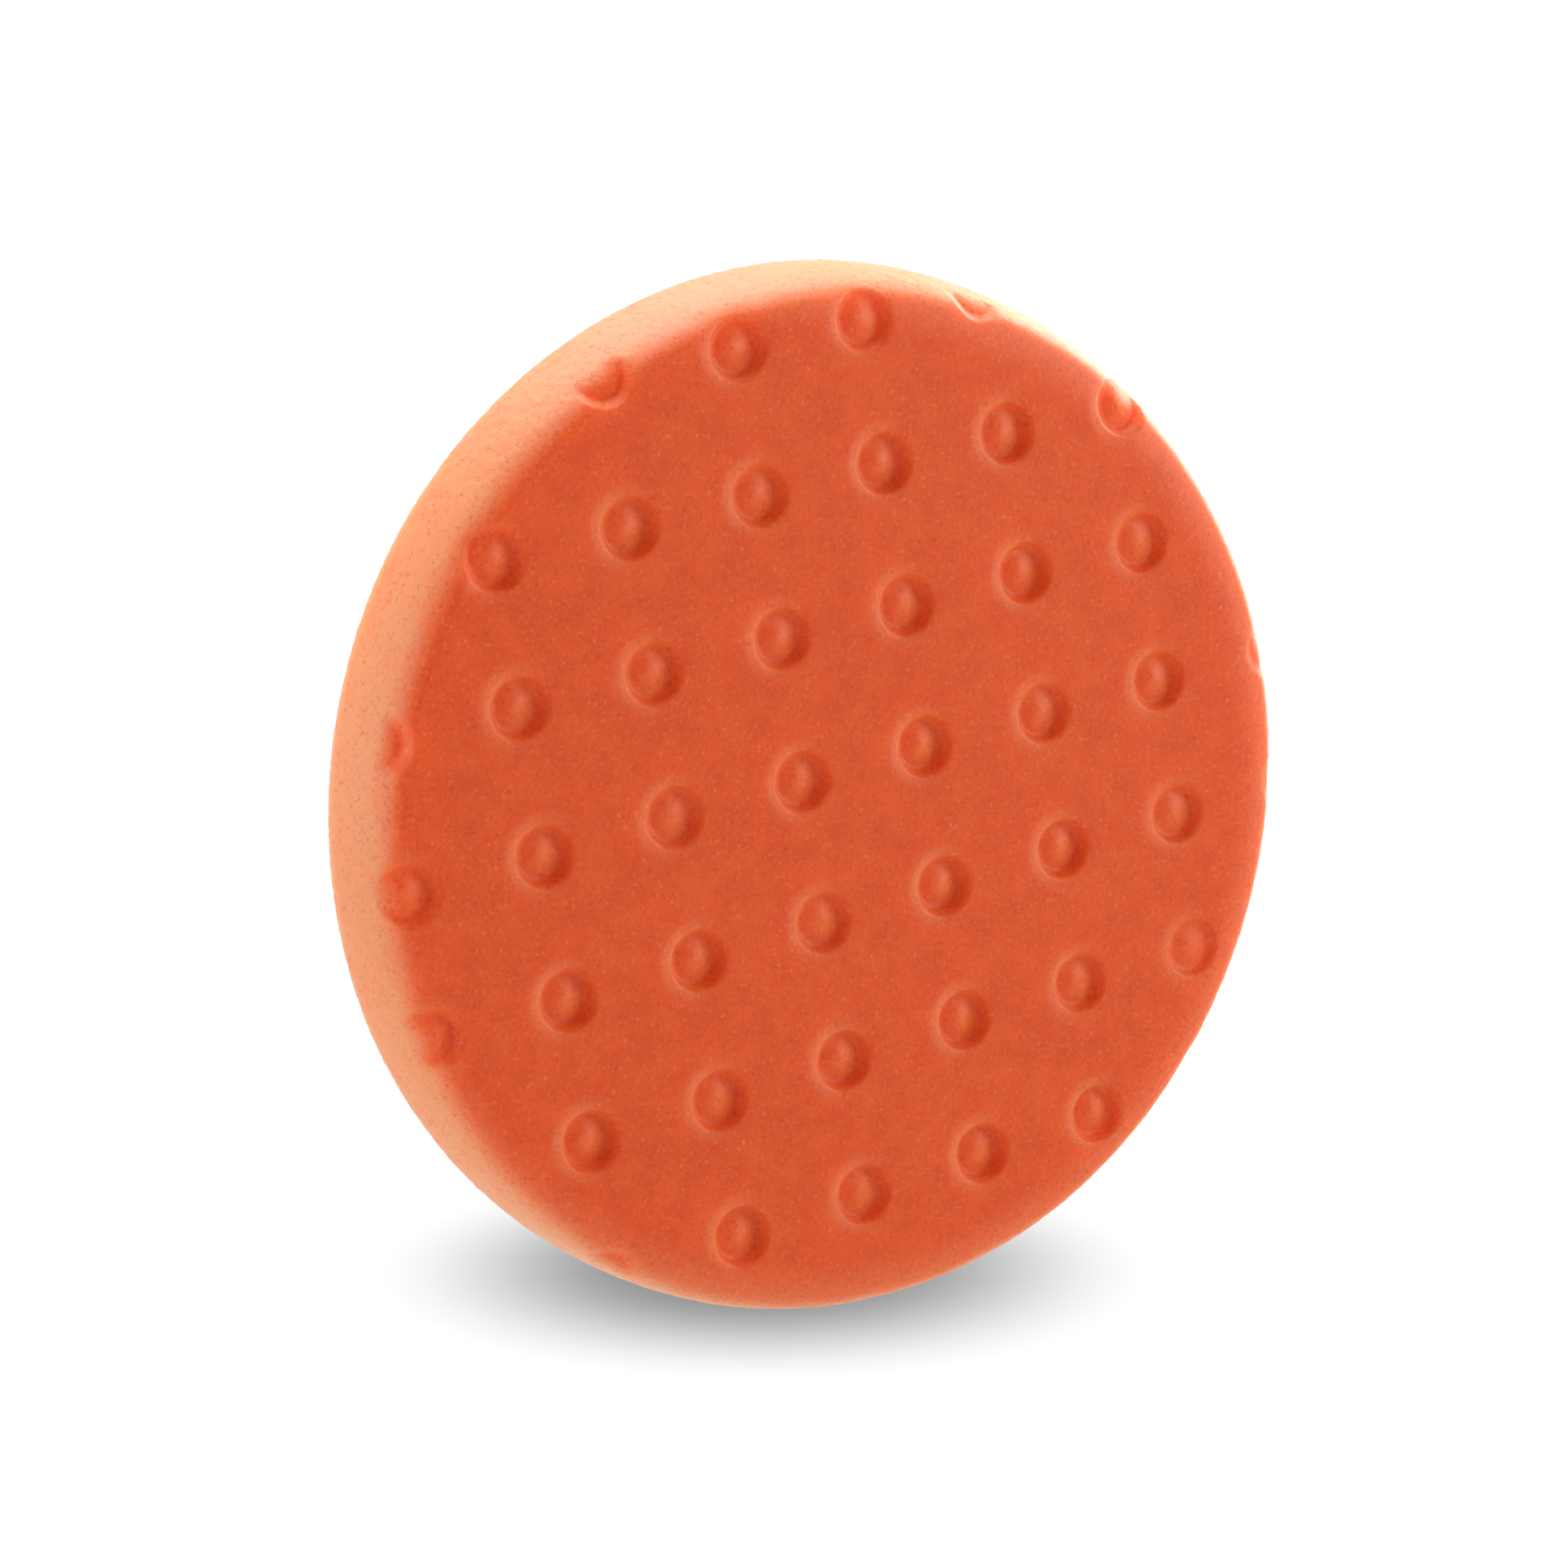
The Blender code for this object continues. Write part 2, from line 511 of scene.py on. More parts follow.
@dataclass(frozen=True)
class HotMeltFilm:
    """Polyurethane hot-melt film, pressed and reheated.

    Milky and a little glossy, with shallow orange-peel where it flowed.
    """

    colour: str = "#EDE6D2"
    thick_colour: str = "#D8CDB2"
    flow_size: float = 1.6 * MM
    flow_height: float = 0.1 * MM

    def build(self) -> bpy.types.Material:
        """Make the material.

        Returns:
            The film material.
        """
        material, tree = blank_material("hot_melt_adhesive_film")
        place = add_node(tree, "ShaderNodeTexCoord").outputs["Object"]
        flow = add_node(
            tree,
            "ShaderNodeTexNoise",
            inputs={"Vector": place, "Scale": 1.0 / self.flow_size, "Detail": 2.0},
        )
        milk = add_node(
            tree,
            "ShaderNodeMix",
            {"data_type": "RGBA"},
            {
                "Factor": flow.outputs["Fac"],
                "A": linear(self.colour),
                "B": linear(self.thick_colour),
            },
        )
        bump = add_node(
            tree,
            "ShaderNodeBump",
            inputs={
                "Height": flow.outputs["Fac"],
                "Strength": 0.3,
                "Distance": self.flow_height,
            },
        )
        finish_material(
            tree,
            {
                "Base Color": milk.outputs["Result"],
                "Roughness": 0.32,
                "IOR": 1.48,
                "Subsurface Weight": 0.2,
                "Subsurface Radius": (1.0, 0.9, 0.7),
                "Subsurface Scale": MM,
                "Normal": bump.outputs["Normal"],
            },
        )
        return material


@dataclass(frozen=True)
class KnittedNylon:
    """Warp-knitted nylon ground: fine upright wales crossed by courses.

    It shows between the loops as a flat grey-white rib, its valleys darker as painted
    shade.
    """

    colour: str = "#D9D9D4"
    # Painted shade: the grey drawn into the knit's valleys.
    valley_painted_shade: str = "#A9A9A4"
    wale_spacing: float = 0.9 * MM
    course_spacing: float = 0.7 * MM
    relief: float = 0.15 * MM

    def build(self) -> bpy.types.Material:
        """Make the material.

        Returns:
            The ground cloth's material.
        """
        material, tree = blank_material("warp_knitted_nylon")
        place = add_node(tree, "ShaderNodeTexCoord").outputs["Object"]
        waves = [
            add_node(
                tree,
                "ShaderNodeTexWave",
                {"wave_type": "BANDS", "bands_direction": direction},
                {
                    "Vector": place,
                    "Scale": 2.0 * math.pi / (WAVE_NODE_RATE * spacing),
                    "Distortion": 0.6,
                    "Detail": 1.0,
                },
            )
            for direction, spacing in (("X", self.wale_spacing), ("Z", self.course_spacing))
        ]
        knit = add_node(
            tree,
            "ShaderNodeMath",
            {"operation": "MULTIPLY"},
            {0: waves[0].outputs["Fac"], 1: waves[1].outputs["Fac"]},
        )
        # Darker in the valleys of the knit: painted shade.
        colour = add_node(
            tree,
            "ShaderNodeMix",
            {"data_type": "RGBA"},
            {
                "Factor": knit.outputs["Value"],
                "A": linear(self.valley_painted_shade),
                "B": linear(self.colour),
            },
        )
        bump = add_node(
            tree,
            "ShaderNodeBump",
            inputs={
                "Height": knit.outputs["Value"],
                "Strength": 0.8,
                "Distance": self.relief,
            },
        )
        finish_material(
            tree,
            {
                "Base Color": colour.outputs["Result"],
                "Roughness": 0.75,
                "Sheen Weight": 0.3,
                "Sheen Roughness": 0.5,
                "Normal": bump.outputs["Normal"],
            },
        )
        return material


@dataclass(frozen=True)
class BrushedNylon:
    """Brushed nylon yarn: soft white loops with a silky glint, no two quite alike."""

    bright_colour: str = "#F2F1EC"
    dull_colour: str = "#CFCEC8"
    fibre_size: float = 0.12 * MM
    fibre_relief: float = 0.03 * MM

    def build(self) -> bpy.types.Material:
        """Make the material.

        Returns:
            The yarn's material. It reads the point attribute "shade", from 0 to 1.
        """
        material, tree = blank_material("brushed_nylon_yarn")
        place = add_node(tree, "ShaderNodeTexCoord").outputs["Object"]
        shade = add_node(tree, "ShaderNodeAttribute", {"attribute_name": "shade"})
        fibre = add_node(
            tree,
            "ShaderNodeTexNoise",
            inputs={"Vector": place, "Scale": 1.0 / self.fibre_size, "Detail": 1.0},
        )
        colour = add_node(
            tree,
            "ShaderNodeMix",
            {"data_type": "RGBA"},
            {
                "Factor": shade.outputs["Fac"],
                "A": linear(self.dull_colour),
                "B": linear(self.bright_colour),
            },
        )
        bump = add_node(
            tree,
            "ShaderNodeBump",
            inputs={
                "Height": fibre.outputs["Fac"],
                "Strength": 0.5,
                "Distance": self.fibre_relief,
            },
        )
        finish_material(
            tree,
            {
                "Base Color": colour.outputs["Result"],
                "Roughness": 0.55,
                "Subsurface Weight": 0.15,
                "Subsurface Radius": (0.4, 0.4, 0.4),
                "Subsurface Scale": MM,
                "Sheen Weight": 0.4,
                "Sheen Roughness": 0.4,
                "Normal": bump.outputs["Normal"],
            },
        )
        return material


# ---------------------------------------------------------------------------------------
# The foam
# ---------------------------------------------------------------------------------------


@dataclass
class PocketGrid:
    """The punched pockets: where they are, and how deep the face sinks round each.

    The pockets sit on a square grid that is turned and set off from the pad's centre, as
    on a disc cut from a punched sheet. Each is a ring groove round a dome that stops just
    below the face. The punch leaned a little, so the lip rolls over widely on one side
    and is crisp on the other.
    """

    pitch: float = 19.05 * MM
    turn: float = 9.56
    offset: tuple[float, float] = (-0.388, 0.216)
    groove_depth: float = 1.8 * MM
    groove_radius: float = 2.95 * MM
    wall_top: float = 4.4 * MM
    lip_reach: float = 6.1 * MM
    lip_depth: float = 0.26 * MM
    lip_lean: float = 0.8
    lip_heading: float = 140.0
    lip_shift: float = 0.2 * MM
    centre_rise: float = 1.05 * MM
    centre_width: float = 2.2 * MM
    centre_power: float = 1.8
    centre_shift: float = -0.45 * MM
    # Painted highlights: the lips and domes drawn paler on the side that faces the light, lobed
    # round the heading.
    lip_highlight: float = 0.38
    dome_highlight: float = 0.2
    highlight_heading: float = 170.0
    highlight_lobe: float = 1.5
    highlight_middle: float = 0.4
    crowding: float = 0.22
    wander: float = 0.12 * MM
    depth_chance: float = 0.05
    run_out: tuple[float, float] = (40.0 * MM, 74.0 * MM)
    run_out_share: float = 0.75
    seed: int = 7
    reach: int = 6

    def lattice(self) -> tuple[np.ndarray, np.ndarray]:
        """Work out the pockets' centres, each nudged a little, and their depth factors.

        The punch ran out towards the right-hand rim: the factor falls there by a smooth
        step along x. It has a small chance part too.

        Returns:
            Centres of shape (n, 2) and one depth factor for each, 1 at most places.
        """
        steps = np.arange(-self.reach, self.reach + 1)
        column, row = np.meshgrid(steps, steps)
        u = (column.ravel() + self.offset[0]) * self.pitch
        v = (row.ravel() + self.offset[1]) * self.pitch
        angle = math.radians(self.turn)
        centres = np.stack(
            [
                u * math.cos(angle) - v * math.sin(angle),
                u * math.sin(angle) + v * math.cos(angle),
            ],
            axis=1,
        )
        random = np.random.default_rng(self.seed)
        nudged = centres + random.normal(0.0, self.wander, centres.shape)
        chance = random.normal(0.0, self.depth_chance, len(centres))
        lost = self.run_out_share * smooth_step(centres[:, 0], *self.run_out)
        return nudged, 1.0 - lost + chance

    def nearest(self, flat: np.ndarray) -> tuple[np.ndarray, np.ndarray, np.ndarray]:
        """Find each point's pocket.

        Args:
            flat: Points of shape (n, 2) on the face's plane.

        Returns:
            The nearest centre, the distance to it, and that pocket's depth factor.
        """
        centres, factors = self.lattice()
        choice = np.zeros(len(flat), int)
        best = np.full(len(flat), np.inf)
        for index, centre in enumerate(centres):
            distance = np.hypot(flat[:, 0] - centre[0], flat[:, 1] - centre[1])
            closer = distance < best
            best[closer] = distance[closer]
            choice[closer] = index
        return centres[choice], best, factors[choice]

    def sink(self, flat: np.ndarray) -> np.ndarray:
        """How far the face sinks at each point, round its nearest pocket.

        The wall is a steep smooth step from the groove's floor. The lip is a wider one
        round a point shifted along the heading, and its depth swings round the pocket as
        one plus the lean times the cosine of the angle from the heading. The dome, a
        little to the left, is taken off them as exp(-(r / width) ** power).

        Args:
            flat: Points of shape (n, 2) on the face's plane.

        Returns:
            Depth below the face, 0 beyond the lip.
        """
        centres, distance, factor = self.nearest(flat)
        heading = math.radians(self.lip_heading)
        shift = self.lip_shift * np.array([math.cos(heading), math.sin(heading)])
        away = flat - centres - shift
        angle = np.arctan2(away[:, 1], away[:, 0]) - heading
        wall = 1.0 - smooth_step(distance, self.groove_radius, self.wall_top)
        lip = 1.0 - smooth_step(np.hypot(*away.T), self.groove_radius, self.lip_reach)
        round_lip = self.lip_depth * (1.0 + self.lip_lean * np.cos(angle))
        from_dome = np.hypot(*(flat - centres - (self.centre_shift, 0.0)).T)
        dome = np.exp(-((from_dome / self.centre_width) ** self.centre_power))
        depth = (self.groove_depth - round_lip) * wall + round_lip * lip
        return factor * (depth - self.centre_rise * dome)

    def painted_highlight(self, flat: np.ndarray) -> np.ndarray:
        """How strong the painted highlights on the lips and the domes are.

        A bell of the distance from a ring on the lip is lobed round the pocket by a
        power of half of one plus the cosine of the angle from the heading. The dome has
        its own bell.

        Args:
            flat: Points of shape (n, 2) on the face's plane.

        Returns:
            Strength of the painted highlight at each point, 0 where there is none.
        """
        centres, distance, factor = self.nearest(flat)
        away = flat - centres
        angle = np.arctan2(away[:, 1], away[:, 0]) - math.radians(self.highlight_heading)
        lobe = (0.5 * (1.0 + np.cos(angle))) ** self.highlight_lobe
        lip_width = 0.5 * (self.lip_reach - self.wall_top)
        across_lip = (distance - self.wall_top) / lip_width
        lip = np.exp(-((across_lip - self.highlight_middle) ** 2))
        from_dome = np.hypot(*(away - (self.centre_shift, 0.0)).T)
        dome = np.exp(-((2.0 * from_dome / self.centre_width) ** 2))
        return factor * (self.lip_highlight * lobe * lip + self.dome_highlight * dome)

    def crowd(self, flat: np.ndarray, limit: float) -> np.ndarray:
        """Pull mesh points towards the pockets' walls, where the shape needs them.

        Within a pocket's reach a distance d moves by a sine of the way out, which draws
        points in from the lip's side and out from the centre's. The pull fades to
        nothing before the limit, so that the outline stays round.

        Args:
            flat: Points of shape (n, 2) on the face's plane.
            limit: Radius beyond which nothing moves.

        Returns:
            The moved points.
        """
        centres, distance, _ = self.nearest(flat)
        middle = 0.5 * (self.groove_radius + self.wall_top)
        span = 2.0 * middle
        phase = np.clip((distance - middle) / middle, -1.0, 1.0)
        shift = -self.crowding * middle * np.sin(math.pi * phase)
        fade = 1.0 - smooth_step(np.hypot(flat[:, 0], flat[:, 1]), limit - span, limit)
        move = np.where(distance < span, shift, 0.0) * fade
        scale = 1.0 + move / np.maximum(distance, TINY)
        return centres + (flat - centres) * scale[:, None]


@dataclass
class FoamDisc:
    """The foam body: flat work face, a side that bellies out, and a narrower back.

    The edge of the face is crisp on one side and rolls over softly on the other. Each
    entry of the waves is a number of waves round the rim, a phase and a share, and each
    of the ripples is radians per metre and a phase, along x and along y.
    """

    face_radius: float = 65.6 * MM
    face_shift: float = 1.7 * MM
    face_heading: float = -48.0
    belly_depth: float = 11.4 * MM
    back_radius: float = 63.6 * MM
    back_round: float = 0.8 * MM
    back_rings: tuple[float, float] = (1.2 * MM, 3.0 * MM)
    middle_radius: float = 61.5 * MM
    edge_fall: float = 0.6 * MM
    edge_width: float = 5.5 * MM
    fall_reach: float = 1.5
    crisp_heading: float = 160.0
    crisp_share: float = 0.9
    # How far the side's painted light reaches in over the face and down the shoulder.
    side_light_reach: float = 5.5 * MM
    side_light_depth: float = 8.0 * MM
    punch_reach: float = 4.0 * MM
    skin_depth: float = 0.6
    skin_hides: float = 0.9
    skin_fades: float = 0.6
    wave_height: float = 0.07 * MM
    wave_start: float = 1.5 * MM
    waves: tuple[tuple[float, float, float], ...] = ((3.0, 0.7, 1.0), (7.0, 2.1, 0.6))
    ripple_height: float = 0.03 * MM
    ripples: tuple[tuple[float, float], ...] = ((310.0, 1.3), (270.0, 0.4))
    fur_height: float = 0.07 * MM
    cells: int = 320
    ring_step: float = 0.32 * MM
    shoulder_steps: int = 44
    shoulder_crowding: float = 1.35
    flank_steps: int = 24
    seed: int = 19
    pockets: PocketGrid = field(default_factory=PocketGrid)
    finish: OpenCellFoam = field(default_factory=OpenCellFoam)

    def profile(self) -> tuple[np.ndarray, np.ndarray]:
        """Trace the section from the middle's edge over the rim to the back's centre.

        The face is flat out to its edge. The shoulder is a quarter ellipse from there to
        the belly, finely stepped where it turns most. The flank's inset grows with the
        square of the way back, and a small round leads into the flat back.

        Returns:
            Radii and heights above the loop face.
        """
        low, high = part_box(Layer.FOAM.node)
        top, bottom, widest = -low.y, -high.y, high.x
        belly_height = top - self.belly_depth
        flat = np.arange(self.middle_radius, self.face_radius, self.ring_step)[1:]
        swell = widest - self.face_radius
        steps = np.linspace(0.0, 1.0, self.shoulder_steps)
        turn = 0.5 * math.pi * steps**self.shoulder_crowding
        share = np.linspace(0.0, 1.0, self.flank_steps)[1:]
        inset = (widest - self.back_radius) * share**2
        flank_height = belly_height - (belly_height - bottom) * share
        round_end = np.minimum(flank_height - bottom, self.back_round)
        inset = inset + 0.5 * (self.back_round - round_end) ** 2 / self.back_round
        back = self.back_radius - np.array(self.back_rings)
        radii = np.concatenate(
            [flat, self.face_radius + swell * np.sin(turn), widest - inset, back]
        )
        heights = np.concatenate(
            [
                np.full(len(flat), top),
                belly_height + self.belly_depth * np.cos(turn),
                flank_height,
                np.full(len(back), bottom),
            ]
        )
        return radii, heights

    def fur(self, rings: int, around: int) -> np.ndarray:
        """Rough up the cut side: chance numbers, each blended with its neighbours.

        Args:
            rings: Number of rings.
            around: Points in a ring.

        Returns:
            Roughness of shape (rings * around,), mostly from -1 to 1.
        """
        rough = np.random.default_rng(self.seed).normal(0.0, 1.0, (rings, around))
        for axis in (0, 1):
            ahead, behind = np.roll(rough, 1, axis), np.roll(rough, -1, axis)
            rough = 0.5 * rough + 0.25 * (ahead + behind)
        return rough.ravel()

    def toward_shift(self, around: np.ndarray) -> np.ndarray:
        """Cosine of the angle between each direction and the face's shift."""
        return np.cos(around - math.radians(self.face_heading))

    def lean(self, flat: np.ndarray, around: np.ndarray, height: np.ndarray) -> np.ndarray:
        """Set the face's edge off to one side, as a die that leaned in the cut does.

        The shift is whole at the face's edge. It fades to nothing inwards over the rings
        of the face, and outwards over the shoulder.

        Args:
            flat: Points of shape (n, 2) in the disc's own frame.
            around: Their angles.
            height: Their heights above the loop face.

        Returns:
            The moved points.
        """
        radius = np.maximum(np.hypot(flat[:, 0], flat[:, 1]), TINY)
        inner = (radius - self.middle_radius) / (self.face_radius - self.middle_radius)
        drop = (height.max() - height) / self.belly_depth
        share = np.clip(inner, 0.0, 1.0) * np.clip(1.0 - drop, 0.0, 1.0)
        move = self.face_shift * self.toward_shift(around) * share
        return flat * (1.0 + move / radius)[:, None]

    def softness(self, around: np.ndarray) -> np.ndarray:
        """How softly the edge rolls over in each direction, near 0 where it is crisp.

        One, less the crisp share of the cosine of the angle from the crisp heading. The
        cosine counts only on the side of the pad where it is above zero.

        Args:
            around: Angles of the points.

        Returns:
            The softness at each point, from 0 to 1.
        """
        facing = np.cos(around - math.radians(self.crisp_heading))
        return 1.0 - self.crisp_share * np.maximum(facing, 0.0)

    def fall(self, past_edge: np.ndarray, drop: np.ndarray) -> np.ndarray:
        """How far the face falls away round its edge, where that is soft.

        The way out is 0 at the edge's width inside the edge and 1 at the edge. The fall
        is its square, and past the edge a second square levels it off at the reach. It
        fades to nothing down the shoulder.

        Args:
            past_edge: Distances outwards from the face's edge.
            drop: Depths below the face.

        Returns:
            The fall at each point.
        """
        way_out = np.clip(past_edge / self.edge_width + 1.0, 0.0, self.fall_reach)
        past = np.maximum(way_out - 1.0, 0.0)
        levelling = self.fall_reach / (self.fall_reach - 1.0)
        share = way_out**2 - levelling * past**2
        return self.edge_fall * share * (1.0 - np.clip(drop / self.belly_depth, 0.0, 1.0))

    def unevenness(self, around: np.ndarray, rings: int) -> np.ndarray:
        """How far the side stands out from its round: slow waves and a fine fur.

        Args:
            around: Angles of all points: the middle's, the rings' and the last.
            rings: Number of rings.

        Returns:
            Distance outwards at each point.
        """
        wave = sum(share * np.sin(count * around + at) for count, at, share in self.waves)
        fur = np.zeros(len(around))
        ring_points = 4 * self.cells * rings
        fur[-1 - ring_points : -1] = self.fur(rings, 4 * self.cells)
        return self.wave_height * wave + self.fur_height * fur

    def surface(self) -> tuple[DiscGrid, np.ndarray, np.ndarray, np.ndarray]:
        """Work out every point of the foam.

        Heights come from the section, less the fall at the edge. Then the pockets press
        it down, less and less over the shoulder, which leaves the notches where a pocket
        meets the rim. Painted light, the side's strong light and sheen drawn as a paler
        colour, comes in over the way across the edge and down the shoulder, and a
        pocket's skin hides it. Painted highlights on the pockets' lips and domes join it.

        Returns:
            The grid, the world points, how much of each point is pocket skin, and how
            much of it carries painted light: the cut side and the pockets' highlights.
        """
        radii, heights = self.profile()
        top = heights[0]
        grid = DiscGrid(self.cells, len(radii))
        middle = self.pockets.crowd(grid.middle(self.middle_radius), self.middle_radius)
        flat = np.concatenate([middle, grid.ring_points(radii), np.zeros((1, 2))])
        height = np.concatenate(
            [np.full(len(middle), top), np.repeat(heights, grid.around), [heights[-1]]]
        )
        around = np.arctan2(flat[:, 1], flat[:, 0])
        flat = self.lean(flat, around, height)
        radius = np.hypot(flat[:, 0], flat[:, 1])
        upper = height > top - self.belly_depth
        softness = self.softness(around)
        past_edge = radius - self.face_radius - self.face_shift * self.toward_shift(around)
        travel = past_edge + top - height
        # Painted light: the side's strong light and sheen, drawn into its colour.
        side_light_share = smooth_step(travel, -self.side_light_reach * softness, self.side_light_depth)
        height = height - softness * self.fall(past_edge, top - height) * upper
        reached = np.clip(1.0 - (top - height) / self.punch_reach, 0.0, 1.0)
        sunk = self.pockets.sink(flat) * reached
        skin = np.clip(sunk / (self.skin_depth * self.pockets.groove_depth), 0.0, 1.0)
        hidden = self.skin_hides * (1.0 - self.skin_fades * softness) * skin**2
        # The side's painted light, hidden where a pocket's skin is.
        side = np.where(upper, side_light_share, 1.0) * (1.0 - hidden)
        # Painted highlights on the pockets' lips and domes, in the side's painted light.
        side = np.where(upper, np.maximum(side, self.pockets.painted_highlight(flat)), side)
        ripple = math.prod(
            np.sin(flat[:, axis] * rate + at) for axis, (rate, at) in enumerate(self.ripples)
        )
        height = height - sunk + self.ripple_height * ripple * upper
        on_side = smooth_step(radius, self.face_radius, self.face_radius + self.wave_start)
        outwards = on_side * self.unevenness(around, len(radii))
        scale = 1.0 + outwards / np.maximum(radius, TINY)
        points = np.concatenate([flat * scale[:, None], height[:, None]], axis=1)
        return grid, Facing.WORK.to_world(points), skin, side

    def build(self) -> bpy.types.Object:
        """Make the foam piece and dress it.

        Returns:
            The foam object.
        """
        grid, points, skin, side = self.surface()
        foam = mesh_object("foam_disc", points, grid.faces())
        point_attribute(foam, "skin", skin)
        point_attribute(foam, "side", side)
        foam.data.materials.append(self.finish.build())
        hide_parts(Layer.FOAM.node)
        return foam


# ---------------------------------------------------------------------------------------
# The back: film, cloth and loops
# ---------------------------------------------------------------------------------------


@dataclass
class BackLayer:
    """One thin layer of the back, as a disc with a slightly uneven cut edge."""

    layer: Layer
    name: str
    finish: HotMeltFilm | KnittedNylon
    ragged: float = 0.12 * MM
    edge_round: float = 0.08 * MM
    edge_band: float = 1.5 * MM
    under_band: float = 2.0 * MM
    edge_waves: tuple[int, ...] = (5, 13, 29, 61, 97)
    bend_points: int = 7
    cells: int = 96
    seed: int = 3

    def surface(self) -> tuple[DiscGrid, np.ndarray]:
        """Work out the disc's points from its CAD box.

        The edge is a half round. Its radius wanders by a sum of sines around the rim,
        always inwards, as scissors or a die blunted by use leave it.

        Returns:
            The grid and the world points.
        """
        low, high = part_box(self.layer.node)
        radius, bottom, top = high.x, low.y, high.y
        bend = np.linspace(0.5 * math.pi, -0.5 * math.pi, self.bend_points)
        radii = radius - self.edge_round + self.edge_round * np.cos(bend)
        heights = 0.5 * (top + bottom) + 0.5 * (top - bottom) * np.sin(bend)
        radii = np.concatenate(
            [[radius - 2.0 * self.edge_round], radii, [radius - self.under_band]]
        )
        heights = np.concatenate([[top], heights, [bottom]])
        grid = DiscGrid(self.cells, len(radii))
        inner = radius - self.edge_band
        flat = np.concatenate([grid.middle(inner), grid.ring_points(radii), np.zeros((1, 2))])
        height = np.concatenate(
            [np.full((self.cells + 1) ** 2, top), np.repeat(heights, grid.around), [bottom]]
        )
        random = np.random.default_rng(self.seed)
        around = np.arctan2(flat[:, 1], flat[:, 0])
        wave = np.zeros(len(flat))
        for count in self.edge_waves:
            wave += np.sin(count * around + random.uniform(0.0, 2.0 * math.pi))
        wave /= len(self.edge_waves)
        near_edge = smooth_step(np.hypot(flat[:, 0], flat[:, 1]), inner, radius)
        inwards = 1.0 - near_edge * self.ragged * (1.0 + wave) / radius
        points = np.concatenate([flat * inwards[:, None], height[:, None]], axis=1)
        return grid, Facing.LOOP.to_world(points)

    def build(self) -> bpy.types.Object:
        """Make the layer and dress it.

        Returns:
            The layer's object.
        """
        grid, points = self.surface()
        disc = mesh_object(self.name, points, grid.faces())
        disc.data.materials.append(self.finish.build())
        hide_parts(self.layer.node)
        return disc


